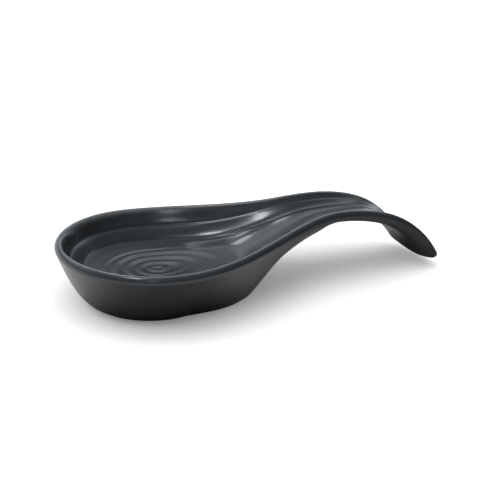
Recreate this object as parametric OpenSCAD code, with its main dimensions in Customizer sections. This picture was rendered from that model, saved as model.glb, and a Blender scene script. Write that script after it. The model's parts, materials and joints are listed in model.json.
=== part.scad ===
// Glazed stoneware spoon rest: a broad bowl that runs out into an arched, curled handle.
// Millimetres. The foot stands on Z = 0, the handle points along +X, and the origin is
// under the middle of the whole piece.
//
// The rim is laid out flat first, as run (distance from the bowl's centre towards the
// handle) and side (distance from the middle line). bend() then lays that flat plan along
// the rim line, which is level over the bowl's end, rises, arches over and curls down at the tip.
// Every section starts at the well's centre, runs out over the inside to the lip, turns
// over it, and comes back underneath to the foot and the hollow inside the foot ring.

/* [Bowl] */
// Width of the bowl across the rim
bowl_w = 113; // [102:1:126]
// Length of the bowl's end, from its widest place away from the handle
bowl_end = 48.7; // [45:0.1:54]
// Height of the level part of the rim above the table
rim_h = 32.2; // [30:0.1:35]
// Radius of the rounded lip
lip_r = 1.7; // [1.5:0.1:2]

/* [Handle] */
// Run from the bowl's centre to where the rim starts to rise
rise_start = 4.5; // [0:0.5:10]
// Radius of the rise out of the bowl
rise_r = 467; // [430:1:510]
// Slope at the top of the rise, in degrees
rise_angle = 9.7; // [9:0.1:10.6]
// Radius of the arch
arch_r = 100.1; // [94:0.1:107]
// Downward slope at which the arch tightens into the curl, in degrees
arch_angle = 15.1; // [13:0.1:17]
// Radius of the curl
curl_r = 58.8; // [55:0.1:63]
// Height of the rim line's end at the tip, above the table
tip_h = 2.9; // [2.2:0.1:5]
// Run from the bowl's centre to the narrowest place
neck_at = 102.1; // [96:0.1:109]
// Width at the narrowest place
neck_w = 44.4; // [41:0.1:48]
// Width at the handle's end
end_w = 45.6; // [42:0.1:49]
// How far the handle's end bows out
end_bow = 3.9; // [2:0.1:4.6]
// Radius of the end's corners
corner_r = 5; // [4.6:0.1:6.5]
// Depth of the handle's back below the rim line at the neck
handle_t = 7.4; // [7:0.1:9]
// Depth of the handle's back below the rim line at the tip
tip_t = 7.5; // [7:0.1:9]
// Least thickness between the channel and the handle's back
wall_t = 4; // [3.4:0.1:4.6]
// Distance from the edge over which the handle's back rounds over
back_round = 10.4; // [9:0.1:13]

/* [Inside] */
// Distance of the ledge in from the rim
ledge_inset = 9; // [8:0.1:10]
// Depth of the ledge below the rim
ledge_depth = 9.1; // [8:0.1:10]
// Distance of the floor's edge in from the rim
floor_inset = 16.5; // [15:0.1:18]
// Depth of the floor's edge below the rim
floor_depth = 15.1; // [13.5:0.1:16]
// Extra depth of the dished floor at its middle
dish_depth = 1.8; // [1:0.1:2.5]
// Distance of the well's centre from the bowl's centre, towards the handle
well_shift = 8; // [5:0.5:10]
// Run at which the floor starts to climb to the handle
ramp_from = 34; // [28:1:40]
// Run at which the climb ends in the handle's channel
ramp_to = 94; // [86:1:104]
// Depth of the channel along the handle
channel_depth = 5.2; // [4:0.1:5.6]
// Depth of the channel at the tip
tip_channel = 1.5; // [0.5:0.1:2.5]
// Distance of the channel's floor in from the handle's edge
channel_inset = 15.5; // [13:0.1:16.5]
// Number of throwing rings on the floor
ring_count = 5; // [3:1:5]
// Distance from one throwing ring to the next
ring_pitch = 5.8; // [5:0.1:6.2]
// Height of a throwing ring above the groove beside it
ring_relief = 0.6; // [0.3:0.05:0.9]

/* [Underside] */
// Distance of the foot's edge in from the rim
foot_inset = 25; // [22:0.1:27]
// Run from the bowl's centre to the foot's edge below the handle
foot_reach = 53.5; // [50:0.5:58]
// Width of the ring that the piece stands on
foot_ring_w = 5; // [4:0.1:6]
// Depth of the hollow inside the foot ring
hollow_depth = 8; // [6:0.1:9]
// Run over which the belly climbs from the foot to the handle's back
belly_run = 45; // [40:0.5:48]
// Fullness of the belly's wall round the bowl, from 1 for a straight cone
belly_power = 1.6; // [1.45:0.01:1.75]
// Hollowness of the belly's climb to the handle, down from 1 for a straight climb
climb_power = 0.94; // [0.82:0.01:1]
// Softness of the inner corner where the belly meets the handle's back
corner_soft = 11; // [8:0.1:12.5]

/* [Glaze] */
// Thickness of the glaze
glaze_t = 0.45; // [0.3:0.05:0.7]
// Height of the bare clay band that is wiped clean round the foot
bare_h = 1.2; // [0.8:0.1:1.8]

/* [Hidden] */

glaze_colour = [0.20, 0.22, 0.24];
clay_colour = [0.42, 0.36, 0.31];

bowl_r = bowl_w / 2;
foot_r = bowl_r - foot_inset;
well_centre = [well_shift, 0];
ring_reach = ring_count * ring_pitch;
degree = 180 / PI;

// Distance from the edge over which the inner corner underneath softens
corner_fade = 8;
// Least softness, which keeps the blend's division real
corner_least = 0.01;

// Run along the rim line at the end of each of its arcs
rise_end = rise_start + rise_r * rise_angle / degree;
arch_end = rise_end + arch_r * (rise_angle + arch_angle) / degree;

// Sections: along the end, round its corner, along each side and round half the bowl
end_steps = 3;
corner_turns = [15, 40, 65];
side_steps = 14;
bowl_steps = 9;
// Points of a section between the throwing rings and the lip, and along the underside
climb_steps = 12;
under_steps = 10;
// Inset of the last point inside the lip, and of the last point of the back's rounded edge
lip_in = 1.6 * lip_r;
// Share of a section's width at which it turns out to the rim, and spacing of those turns at the end
way_bend = 0.25;
end_spread = 5;
// Sharpness of those turns underneath
under_turn = 0.3;

function ease(t) = let (u = min(1, max(0, t))) u * u * (3 - 2 * u);
function mix(from, to, t) = from + (to - from) * t;
function unit(v) = v / norm(v);
function heading(turn) = [cos(turn), sin(turn)];

// Rim line at a run: [x, z, slope], with x from the bowl's centre
function level_line(run) = [run, rim_h, 0];
function rise_line(run) =
    let (slope = (run - rise_start) / rise_r * degree)
    [rise_start + rise_r * sin(slope), rim_h + rise_r * (1 - cos(slope)), slope];
function arc_down(start, radius, along) =
    let (slope = start[2] - along / radius * degree)
    let (ahead = sin(start[2]) - sin(slope), up = cos(slope) - cos(start[2]))
    [start[0] + radius * ahead, start[1] + radius * up, slope];
arch_start = rise_line(rise_end);
curl_start = arc_down(arch_start, arch_r, arch_end - rise_end);
// Downward slope at the tip, where the curl has come down to the tip's height
tip_angle = acos(cos(arch_angle) - (curl_start[1] - tip_h) / curl_r);
reach = arch_end + curl_r * (tip_angle - arch_angle) / degree;
function rim_line(run) =
    run < rise_start ? level_line(run)
    : run < rise_end ? rise_line(run)
    : run < arch_end ? arc_down(arch_start, arch_r, run - rise_end)
    : arc_down(curl_start, curl_r, run - arch_end);

// Point of the flat plan at a height above the rim line
function bend(plan, height) =
    let (line = rim_line(plan[0]))
    [line[0] - height * sin(line[2]), plan[1], line[1] + height * cos(line[2])];

// Centre of the end's corner on the far side
end_at = reach - end_bow - corner_r;
corner = [end_at, end_w / 2 - corner_r];

// Half the width of the flat plan, with the bowl's end and the handle's end left square
function side_width(run) =
    mix(neck_w / 2, bowl_r, (1 + cos(180 * min(1, max(0, run / neck_at)))) / 2)
    + (end_w - neck_w) / 2 * ease((run - neck_at) / (end_at - neck_at));

// The handle's end at a distance from the middle line
function end_line(side) = reach - end_bow * pow(side / corner[1], 2);

// Distance of a plan point in from the rim; over the bowl's end it is that of similar ovals
function side_slope(run) = side_width(run + 0.5) - side_width(run - 0.5);
function side_inset(plan) = (side_width(plan[0]) - abs(plan[1])) / norm([1, side_slope(plan[0])]);
function inset(plan) =
    let (beyond = [plan[0], abs(plan[1])] - corner)
    max(0, plan[0] < 0 ? bowl_r * (1 - norm([plan[0] / bowl_end, plan[1] / bowl_r]))
        : min(beyond) > 0 ? corner_r - norm(beyond)
        : min(side_inset(plan), end_line(min(abs(plan[1]), corner[1])) - plan[0]));

// Depth of the floor's edge below the rim line: level in the bowl, then up the ramp and out to the tip
function ramp(run) = ease((run - ramp_from) / (ramp_to - ramp_from));
function floor_here(run) =
    mix(mix(floor_depth, channel_depth, ramp(run)), tip_channel, ease((run - ramp_to) / (reach - ramp_to)));

// Depth of the inside below the rim line: two steps, the dish and the throwing rings
function inside_depth(plan) =
    let (
        spread = mix(1, channel_inset / floor_inset, ramp(plan[0])),
        in = inset(plan) / spread,
        upper = ledge_depth * ease((in - lip_r) / (ledge_inset - lip_r)),
        lower = (floor_depth - ledge_depth) * ease((in - ledge_inset) / (floor_inset - ledge_inset)),
        out = norm(plan - well_centre),
        dish = dish_depth * (1 - ease(out / (bowl_r - floor_inset))),
        ring = ring_relief * (1 - cos(360 * out / ring_pitch)) / 2 * ease((ring_reach - out) / ring_pitch)
    )
    (upper + lower) * floor_here(plan[0]) / floor_depth + dish - ring;

// Distance of the foot's edge from the well's centre, along a heading
function foot_edge(way) =
    mix(foot_r - well_shift * min(0, way[0]), foot_reach - well_shift, pow(max(0, way[0]), 2));

// Lesser of two heights, with their corner softened
function soft_min(one, two, soft) =
    let (t = min(1, max(0, 0.5 + (two - one) / soft / 2)))
    mix(two, one, t) - soft * t * (1 - t);

// Depth of the handle's back below the rim line: its own rounded depth, or a wall below the channel
function back_depth(plan) =
    let (
        full = mix(handle_t, tip_t, ease((plan[0] - neck_at) / (reach - neck_at))),
        over = 1 - min(1, inset(plan) / min(back_round, side_width(plan[0]))),
        round = sqrt(1 - over * over)
    )
    -soft_min(-mix(lip_r, full, round), -inside_depth(plan) - wall_t * round, lip_r);

// Point of the underside over a plan point: the bowl's belly where it is lower, else the handle's back
function underside(plan) =
    let (
        out = norm(plan - well_centre),
        way = unit(plan - well_centre),
        past_foot = max(0, out - foot_edge(way)),
        climb = past_foot / min(past_foot + inset(plan), belly_run),
        power = mix(belly_power, climb_power, pow(max(0, way[0]), 2)),
        belly = mix(bare_h, rim_line(plan[0])[1] - lip_r, pow(climb, power)),
        back = bend(plan, -back_depth(plan)),
        soft = corner_soft * min(1, inset(plan) / corner_fade) * ease(plan[0] / foot_reach) * min(1, climb)
    )
    [back[0], back[1], soft_min(back[2], belly, max(corner_least, soft))];

// Rim in the flat plan, from the tip round the far side, the bowl's end and the near side
end_plan = [for (i = [0:end_steps - 1]) let (side = corner[1] * i / end_steps) [end_line(side), side]];
corner_plan = [for (turn = corner_turns) corner + corner_r * heading(turn)];
side_plan = [for (i = [0:side_steps - 1]) let (run = end_at * (1 - i / side_steps)) [run, side_width(run)]];
function bowl_line(turn) = [bowl_end * cos(turn), bowl_r * sin(turn)];
bowl_plan = [for (i = [0:bowl_steps]) bowl_line(90 + 90 * i / bowl_steps)];
far_plan = concat(end_plan, corner_plan, side_plan, bowl_plan);
near_plan = [for (i = [len(far_plan) - 2:-1:1]) [far_plan[i][0], -far_plan[i][1]]];
rim_plan = concat(far_plan, near_plan);
sections = len(rim_plan);

// Headings of the sections at the well's centre: even over the handle's share, then straight at the rim
handle_share = len(far_plan) - len(bowl_plan);
bowl_turn = atan2(bowl_r, -well_shift);
function far_turn(i) =
    i < handle_share ? bowl_turn * i / handle_share
    : let (rim = far_plan[i] - well_centre) atan2(rim[1], rim[0]);
function far_index(i) = min(i, sections - i);
function way_of(i) = heading(i < len(far_plan) ? far_turn(i) : -far_turn(sections - i));

// Direction from the rim straight in, in the flat plan
function inward(i) =
    let (along = unit(rim_plan[(i + 1) % sections] - rim_plan[(i + sections - 1) % sections]))
    [-along[1], along[0]];

// Way between two plan points, laid out with the plan's sides drawn parallel: it runs along the handle
// and then turns out to the rim
function squared(plan) = [plan[0], plan[1] / side_width(plan[0])];
function turn_run(i, run) =
    let (rank = far_index(i), ends = len(end_plan) + len(corner_plan))
    rank < ends ? end_at - end_spread * (ends - rank) : run;
function way_point(i, from, to, t, sharp) =
    let (
        start = squared(from),
        finish = squared(to),
        straight = mix(start, finish, way_bend),
        turn = far_index(i) < handle_share ? sharp : 0,
        middle = [mix(straight[0], turn_run(i, finish[0]), turn), straight[1]],
        even = mix(mix(start, middle, t), mix(middle, finish, t), t)
    )
    [even[0], even[1] * side_width(even[0])];

// One section from the well's centre over the lip to the foot's edge
function inside_points(i) =
    let (crest = rim_plan[i] + lip_in * inward(i), last_ring = well_centre + ring_reach * way_of(i))
    concat(
        [for (k = [1:2 * ring_count]) well_centre + k * ring_pitch / 2 * way_of(i)],
        [for (k = [1:climb_steps]) way_point(i, last_ring, crest, k / climb_steps, 1)]);
function lip_points(i) =
    [for (turn = [90, 45, 0])
        bend(rim_plan[i] + lip_r * (1 - cos(turn)) * inward(i), -lip_r * (1 - sin(turn)))];
function under_points(i) =
    let (edge = rim_plan[i] + lip_in * inward(i), foot = well_centre + foot_edge(way_of(i)) * way_of(i))
    concat([rim_plan[i] + lip_r / 2 * inward(i)],
        [for (k = [under_steps:-1:0]) way_point(i, foot, edge, k / under_steps, under_turn)]);
function outer_section(i) =
    concat([for (plan = inside_points(i)) bend(plan, -inside_depth(plan))],
        lip_points(i), [for (plan = under_points(i)) underside(plan)]);

// The foot: wiped edge, standing face and wiped inner edge, then the hollow inside it
function foot_point(i, in, height) =
    let (plan = well_centre + (foot_edge(way_of(i)) - in) * way_of(i)) [plan[0], plan[1], height];
function foot_section(i) =
    let (inner = bare_h + foot_ring_w)
    [foot_point(i, bare_h, 0), foot_point(i, inner, 0), foot_point(i, inner + bare_h, bare_h)];
function hollow_section(i) = [foot_point(i, bare_h + foot_ring_w + hollow_depth, hollow_depth)];

// The glazed shape: its sections, its two centres, and the points at which the bare foot starts and ends
skin = [for (i = [0:sections - 1]) concat(outer_section(i), foot_section(i), hollow_section(i))];
skin_top = bend(well_centre, -inside_depth(well_centre));
skin_under = [well_shift, 0, hollow_depth];
last = len(skin[0]) - 1;
bare_from = len(outer_section(0)) - 1;
bare_to = bare_from + len(foot_section(0));

// The clay under the glaze: the same points drawn in by the glaze's thickness
function neighbour(i, k) = k < 0 ? skin_top : k > last ? skin_under : skin[i][k];
function drawn_in(i, k) =
    let (
        along = neighbour(i, k + 1) - neighbour(i, k - 1),
        across = skin[(i + 1) % sections][k] - skin[(i + sections - 1) % sections][k]
    )
    skin[i][k] + glaze_t * unit(cross(across, along));
clay = [for (i = [0:sections - 1]) [for (k = [0:last]) drawn_in(i, k)]];
clay_top = skin_top - [0, 0, glaze_t];
clay_under = skin_under + [0, 0, glaze_t];

// Middle of the whole piece along the handle
skin_x = [for (section = skin, point = section) point[0]];
middle = [(min(skin_x) + max(skin_x)) / 2, 0, 0];

// Points of every section of a grid, from one to another in order or in reverse
function stretch(grid, from, to) =
    [for (section = grid) [for (k = [from:(to < from ? -1 : 1):to]) section[k]]];
function joined(one, two) = [for (i = [0:sections - 1]) concat(one[i], two[i])];

// Closed solid through rings of section points, between a first and a last centre.
// The rings up to turn_at, or from there when it starts underneath, follow the sections; the others run back.
module closed_solid(first, grid, final, turn_at, starts_back = false) {
    rings = len(grid[0]);
    points = concat([first], [for (k = [0:rings - 1], i = [0:sections - 1]) grid[i][k]], [final]);
    function at(i, k) = 1 + k * sections + i % sections;
    // The split of a patch mirrors the other side's, and both faces of a glaze are split alike
    function patch(a, b, c, d, lean) = lean ? [[a, b, d], [b, c, d]] : [[a, b, c], [a, c, d]];
    function lean(i, k) = (i < sections / 2) == ((k < turn_at) != starts_back);
    faces = concat(
        [for (i = [0:sections - 1]) [0, at(i + 1, 0), at(i, 0)]],
        [for (k = [0:rings - 2], i = [0:sections - 1])
            each patch(at(i, k), at(i + 1, k), at(i + 1, k + 1), at(i, k + 1), lean(i, k))],
        [for (i = [0:sections - 1]) [at(i, rings - 1), at(i + 1, rings - 1), len(points) - 1]]);
    translate(-middle) polyhedron(points, faces);
}

module clay_body() {
    covered = joined(stretch(clay, 0, bare_from), stretch(skin, bare_from, bare_to));
    body = joined(covered, stretch(clay, bare_to, last));
    color(clay_colour) closed_solid(clay_top, body, clay_under, len(body[0]));
}

module glaze_coat() {
    shell = joined(stretch(skin, 0, bare_from), stretch(clay, bare_from, 0));
    color(glaze_colour) closed_solid(skin_top, shell, clay_top, bare_from);
}

module underside_glaze() {
    shell = joined(stretch(clay, last, bare_to), stretch(skin, bare_to, last));
    color(glaze_colour) closed_solid(clay_under, shell, skin_under, last - bare_to + 1, true);
}

clay_body();
glaze_coat();
underside_glaze();
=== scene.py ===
"""Glazed stoneware spoon rest: a broad bowl whose rim runs out into an arched, curled handle.

The flat plan, rim line and surfaces repeat the part's own rules in metres, on a finer grid.
"""
import json
import math
from collections import namedtuple

import bpy
import numpy as np
from bpy.props import FloatProperty, FloatVectorProperty, IntProperty, PointerProperty
from mathutils import Matrix, Vector

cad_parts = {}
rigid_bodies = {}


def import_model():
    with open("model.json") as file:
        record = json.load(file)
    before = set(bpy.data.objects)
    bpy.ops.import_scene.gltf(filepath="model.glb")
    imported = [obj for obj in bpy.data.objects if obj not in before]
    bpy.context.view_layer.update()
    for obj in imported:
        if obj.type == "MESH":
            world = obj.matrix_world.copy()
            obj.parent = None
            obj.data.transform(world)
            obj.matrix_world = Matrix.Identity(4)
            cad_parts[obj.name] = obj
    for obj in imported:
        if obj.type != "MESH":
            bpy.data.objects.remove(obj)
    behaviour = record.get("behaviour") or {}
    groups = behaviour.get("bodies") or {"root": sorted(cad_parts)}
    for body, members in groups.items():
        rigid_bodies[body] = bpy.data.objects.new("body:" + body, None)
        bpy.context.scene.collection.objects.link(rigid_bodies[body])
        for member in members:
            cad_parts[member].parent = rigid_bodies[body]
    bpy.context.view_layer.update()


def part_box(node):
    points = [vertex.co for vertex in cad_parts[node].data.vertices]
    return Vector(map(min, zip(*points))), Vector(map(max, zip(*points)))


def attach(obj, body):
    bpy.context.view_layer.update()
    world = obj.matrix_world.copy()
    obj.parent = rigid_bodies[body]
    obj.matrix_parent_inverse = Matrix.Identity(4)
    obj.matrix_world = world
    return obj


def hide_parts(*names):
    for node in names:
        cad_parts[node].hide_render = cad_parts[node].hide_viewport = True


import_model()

bl_info = {
    "name": "Stoneware Spoon Rest",
    "version": (1, 0, 0),
    "blender": (4, 5, 0),
    "location": "View3D > Sidebar > Spoon Rest",
    "description": "Builds a glazed stoneware spoon rest with its bare foot and throwing rings",
    "category": "Add Mesh",
}

MM = 0.001
TINY = 1e-12
UP, DOWN, NOWHERE = (0, 0, 1), (0, 0, -1), (0, 0, 0)


# Properties

def length(value, name, description):
    """A length given in millimetres."""
    return FloatProperty(name=name, description=description, default=value * MM,
                         unit="LENGTH", precision=5)


def angle(value, name, description):
    """An angle given in degrees."""
    return FloatProperty(name=name, description=description, default=math.radians(value),
                         unit="ROTATION")


def factor(value, name, description):
    """A plain number."""
    return FloatProperty(name=name, description=description, default=value, precision=4)


def count(value, name, description):
    """A whole number."""
    return IntProperty(name=name, description=description, default=value, min=1)


def colour(value, name, description):
    """A linear colour."""
    return FloatVectorProperty(name=name, description=description, default=value,
                               subtype="COLOR", size=3, min=0, max=1)


class RimSizes(bpy.types.PropertyGroup):
    """Plan and rim line of the bowl and handle."""
    bowl_w: length(113, "Bowl width", "Width of the bowl across the rim")
    bowl_end: length(48.7, "Bowl end", "Length of the bowl's end, from its widest place")
    rim_h: length(32.2, "Rim height", "Height of the level part of the rim above the table")
    lip_r: length(2.8, "Lip radius", "Radius of the rounded lip")
    tip_lip_r: length(1.7, "Tip lip radius", "Radius that the lip tapers to at the tip")
    rise_start: length(4.5, "Rise start", "Run from the bowl's centre to where the rim rises")
    rise_r: length(467, "Rise radius", "Radius of the rise out of the bowl")
    rise_angle: angle(9.7, "Rise angle", "Slope at the top of the rise")
    arch_r: length(100.1, "Arch radius", "Radius of the arch")
    arch_angle: angle(15.1, "Arch angle", "Slope at which the arch tightens into the curl")
    curl_r: length(58.8, "Curl radius", "Radius of the curl")
    tip_h: length(2.9, "Tip height", "Height of the rim line's end at the tip")
    neck_at: length(102.1, "Neck place", "Run from the bowl's centre to the narrowest place")
    neck_w: length(44.4, "Neck width", "Width at the narrowest place")
    end_w: length(45.6, "End width", "Width at the handle's end")
    end_bow: length(3.9, "End bow", "How far the handle's end bows out")
    corner_r: length(3.6, "Corner radius", "Radius of the end's corners")
    handle_t: length(7.4, "Neck depth", "Depth of the handle's back below the rim at the neck")
    tip_t: length(7.5, "Tip depth", "Depth of the handle's back below the rim at the tip")
    wall_t: length(4, "Wall", "Least thickness between the channel and the handle's back")
    back_round: length(10.4, "Back rounding", "Distance over which the handle's back rounds over")


class InsideSizes(bpy.types.PropertyGroup):
    """Ledge, floor, channel and throwing rings."""
    ledge_inset: length(9, "Ledge inset", "Distance of the bowl's ledge in from the rim")
    ledge_depth: length(9.1, "Ledge depth", "Depth of the ledge below the rim")
    floor_inset: length(16.5, "Floor inset", "Distance of the floor's edge in from the rim")
    channel_inset: length(15.5, "Channel inset", "Distance of the channel in from the edge")
    floor_depth: length(15.1, "Floor depth", "Depth of the floor's edge below the rim")
    dish_depth: length(1.8, "Dish depth", "Extra depth of the dished floor at its middle")
    well_shift: length(8, "Well shift", "Distance of the well's centre from the bowl's centre")
    ramp_from: length(34, "Ramp start", "Run at which the floor starts to climb to the handle")
    ramp_to: length(94, "Ramp end", "Run at which the climb ends in the handle's channel")
    channel_depth: length(5.2, "Channel depth", "Depth of the channel along the handle")
    tip_channel: length(1.5, "Tip channel depth", "Depth of the channel at the tip")
    bead_h: length(0.25, "Bead height", "Height of the fine bead along the floor's edge")
    bead_w: length(1.0, "Bead width", "Half width of that bead")
    flute: factor(0.8, "Flute", "How far the handle's lower step is hollowed out below its edge")
    flute_from: length(12, "Flute start", "Run at which the flutes start to deepen")
    flute_to: length(52, "Flute end", "Run at which the flutes are full")
    channel_dish: length(1.0, "Channel dish", "Extra depth of the channel at its middle")
    tongue_at: length(35, "Tongue place", "Run of the centre of the floor's round end")
    tongue_r: length(14, "Tongue radius", "Radius of that round end, at which the floor turns up")
    tongue_slope: factor(0.26, "Tongue slope", "Slope of the floor after that turn")
    tongue_soft: length(0.8, "Tongue softness", "Softness of that turn")
    ring_count: count(5, "Ring count", "Number of throwing rings on the floor")
    ring_at: length(3, "Ring place", "Run from the bowl's centre to the rings' centre")
    ring_draw: factor(0.65, "Ring draw", "Share of a distance ahead that counts for the rings")
    ring_pitch: length(6.2, "Ring pitch", "Distance from one throwing ring to the next")
    ring_relief: length(0.36, "Ring relief", "Height of a throwing ring above its groove")
    ring_waver: length(0.3, "Ring waver", "How far the hand-thrown rings wander")
    skin_waver: length(0.04, "Skin waver", "Unevenness of the thrown skin")


class UnderSizes(bpy.types.PropertyGroup):
    """Belly, foot, hollow and glaze."""
    foot_inset: length(25, "Foot inset", "Distance of the foot's edge in from the rim")
    foot_reach: length(53.5, "Foot reach", "Run from the bowl's centre to the foot's far edge")
    foot_ring_w: length(5, "Foot ring width", "Width of the ring that the piece stands on")
    hollow_depth: length(8, "Hollow depth", "Depth of the hollow inside the foot ring")
    belly_run: length(45, "Belly run", "Run over which the belly climbs to the handle's back")
    belly_power: factor(1.6, "Belly fullness", "Fullness of the belly's wall round the bowl")
    climb_power: factor(0.94, "Climb hollowness", "Hollowness of the climb to the handle")
    corner_soft: length(11, "Corner softness", "Softness of the inner corner under the handle")
    corner_fade: length(8, "Corner fade", "Distance from the edge over which it softens")
    glaze_t: length(0.45, "Glaze thickness", "Thickness of the glaze")
    bare_h: length(1.2, "Bare foot height", "Height of the wiped clay band round the foot")


class FinishColours(bpy.types.PropertyGroup):
    """Colours of the glaze, the bare clay and the stage."""
    glaze: colour((0.034, 0.0375, 0.041), "Glaze", "Colour of the satin glaze")
    glaze_light: colour((0.045, 0.050, 0.0545), "Glaze, light", "Paler clouds in the glaze")
    # Paler glaze on crowned edges and the lip's crest: partly thin glaze, partly a painted
    # highlight
    glaze_thin: colour((0.150, 0.158, 0.165), "Glaze, thin", "Glaze that runs thin on an edge")
    # Darker glaze towards the foot: painted shade near the table, with a slightly browner tint
    glaze_foot: colour((0.015, 0.0135, 0.0125), "Glaze, foot", "Browner glaze above the foot")
    # Darker glaze in hollows: painted shade in creases and in the throwing rings' grooves
    glaze_pool: colour((0.020, 0.0225, 0.025), "Glaze, pooled", "Glaze where it pools")
    clay: colour((0.15, 0.105, 0.075), "Clay", "Colour of the bare clay")
    clay_dark: colour((0.075, 0.05, 0.035), "Clay, dark", "Darker grains in the bare clay")
    floor: colour((0.80, 0.80, 0.80), "Floor", "Colour of the studio floor")
    floor_bounce: colour((0.60, 0.61, 0.62), "Floor bounce", "Light that the floor throws back")


class StageSizes(bpy.types.PropertyGroup):
    """Place and lens of the camera."""
    turn: angle(23.087, "Camera turn", "Turn of the camera round the piece")
    elevation: angle(19.462, "Camera elevation", "Height of the camera as an angle")
    view_angle: angle(27.558, "View angle", "Angle of view of the square picture")
    distance: length(504.802, "Camera distance", "Distance from the bowl's rim plane")
    across: factor(150.84, "Bowl across", "Place of the bowl's centre across the picture")
    down: factor(239.13, "Bowl down", "Place of the bowl's centre down the picture")


# Shape of the piece

def ease(t):
    """Smooth step from 0 to 1."""
    u = np.clip(t, 0, 1)
    return u * u * (3 - 2 * u)


def mix(low, high, t):
    """Value part of the way from low to high."""
    return low + (high - low) * t


def soft_min(one, two, soft):
    """Lesser of two values, with their corner softened."""
    t = np.clip(0.5 + (two - one) / soft / 2, 0, 1)
    return mix(two, one, t) - soft * t * (1 - t)


def unit(v):
    """Vectors brought to length 1."""
    return v / np.maximum(np.linalg.norm(v, axis=-1, keepdims=True), TINY)


def heading(turn):
    """Direction in the plan at a turn from the handle."""
    return np.stack([np.cos(turn), np.sin(turn)], axis=-1)


class Form:
    """Surfaces of the piece over a flat plan of run, from the bowl's centre, and side."""

    # Sections along half the end, round its corner, along a side and round half the bowl
    end_steps = 8
    corner_steps = 7
    side_steps = 124
    bowl_steps = 58
    # Points of a section over the rings, up to the lip, round it, under it and down to the foot
    ring_steps = 36
    climb_steps = 84
    lip_steps = 8
    edge_steps = 5
    under_steps = 38
    # Points of a section round the hollow
    hollow_steps = 10
    # How the sections turn out to the rim, and over how many of them the turns ease off
    way_bend = 0.25
    end_spread = -0.4 * MM
    under_turn = 0.3
    turn_fade = 60
    # Place of the lip's inner edge in from the rim, in lip radii
    crest_in = 1.3
    # Where the tongue's turn sets in and dies out, in shares of its run, and how fast from the side
    tongue_from, tongue_in = 0.7, 0.5
    tongue_until, tongue_out = 1.6, 0.7
    tongue_side = 3
    # Step that a slope is measured over, and the least softness and run
    slope_step = 0.5 * MM
    corner_least = 0.01 * MM
    run_least = 1e-9

    def __init__(self, *groups):
        for group in groups:
            for name in group.__annotations__:
                setattr(self, name, getattr(group, name))
        self.bowl_r = self.bowl_w / 2
        self.foot_r = self.bowl_r - self.foot_inset
        self.hollow_inset = 2 * self.bare_h + self.foot_ring_w
        self.well = np.array([self.well_shift, 0.0])
        self.ring_reach = self.ring_count * self.ring_pitch
        self.rise_end = self.rise_start + self.rise_r * self.rise_angle
        self.arch_end = self.rise_end + self.arch_r * (self.rise_angle + self.arch_angle)
        # The curl runs on down to the tip's height
        rise, arch = math.cos(self.rise_angle), math.cos(self.arch_angle)
        arch_top = self.rim_h + self.rise_r * (1 - rise)
        curl_top = arch_top + self.arch_r * (arch - rise)
        tip_angle = math.acos(arch - (curl_top - self.tip_h) / self.curl_r)
        self.reach = self.arch_end + self.curl_r * (tip_angle - self.arch_angle)
        self.end_at = self.reach - self.end_bow - self.corner_r
        self.corner = np.array([self.end_at, self.end_w / 2 - self.corner_r])

    def rim_line(self, run):
        """Place along x, height and slope of the rim line at a run."""
        rise, arch = self.rise_end - self.rise_start, self.arch_end - self.rise_end
        rising = np.clip(run - self.rise_start, 0, rise) / self.rise_r
        arching = self.rise_angle - np.clip(run - self.rise_end, 0, arch) / self.arch_r
        curling = -self.arch_angle - np.maximum(run - self.arch_end, 0) / self.curl_r
        x = np.minimum(run, self.rise_start) + self.rise_r * np.sin(rising)
        x = x + self.arch_r * (math.sin(self.rise_angle) - np.sin(arching))
        x = x + self.curl_r * (math.sin(-self.arch_angle) - np.sin(curling))
        z = self.rim_h + self.rise_r * (1 - np.cos(rising))
        z = z + self.arch_r * (np.cos(arching) - math.cos(self.rise_angle))
        z = z + self.curl_r * (np.cos(curling) - math.cos(self.arch_angle))
        beyond = np.where(run < self.arch_end, arching, curling)
        return x, z, np.where(run < self.rise_end, rising, beyond)

    def bend(self, plan, height):
        """Plan points at a height above the rim line."""
        x, z, slope = self.rim_line(plan[..., 0])
        x, z = x - height * np.sin(slope), z + height * np.cos(slope)
        return np.stack([x, plan[..., 1], z], axis=-1)

    def lip_at(self, run):
        """Radius of the lip at a run."""
        share = ease((run - self.arch_end) / (self.reach - self.arch_end))
        return mix(self.lip_r, self.tip_lip_r, share)

    def side_width(self, run):
        """Half the width of the plan, with both ends left square."""
        share = (1 + np.cos(np.pi * np.clip(run / self.neck_at, 0, 1))) / 2
        past_neck = ease((run - self.neck_at) / (self.end_at - self.neck_at))
        flare = (self.end_w - self.neck_w) / 2 * past_neck
        return mix(self.neck_w / 2, self.bowl_r, share) + flare

    def end_line(self, side):
        """The handle's end at a distance from the middle line."""
        return self.reach - self.end_bow * (side / self.corner[1]) ** 2

    def inset(self, plan):
        """Distance of plan points in from the rim."""
        run, side = plan[..., 0], np.abs(plan[..., 1])
        step = self.slope_step
        slope = (self.side_width(run + step) - self.side_width(run - step)) / (2 * step)
        from_side = (self.side_width(run) - side) / np.hypot(1, slope)
        from_end = self.end_line(np.minimum(side, self.corner[1])) - run
        beyond = np.stack([run, side], axis=-1) - self.corner
        at_corner = self.corner_r - np.linalg.norm(beyond, axis=-1)
        straight = np.minimum(from_side, from_end)
        handle = np.where(beyond.min(axis=-1) > 0, at_corner, straight)
        bowl = self.bowl_r * (1 - np.hypot(run / self.bowl_end, side / self.bowl_r))
        return np.maximum(0, np.where(run < 0, bowl, handle))

    def ramp(self, run):
        """Share of the climb from the floor to the handle's channel."""
        return ease((run - self.ramp_from) / (self.ramp_to - self.ramp_from))

    def spread(self, run):
        """How far in from the edge the steps lie, against the bowl's."""
        return mix(1, self.channel_inset / self.floor_inset, self.ramp(run))

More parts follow.
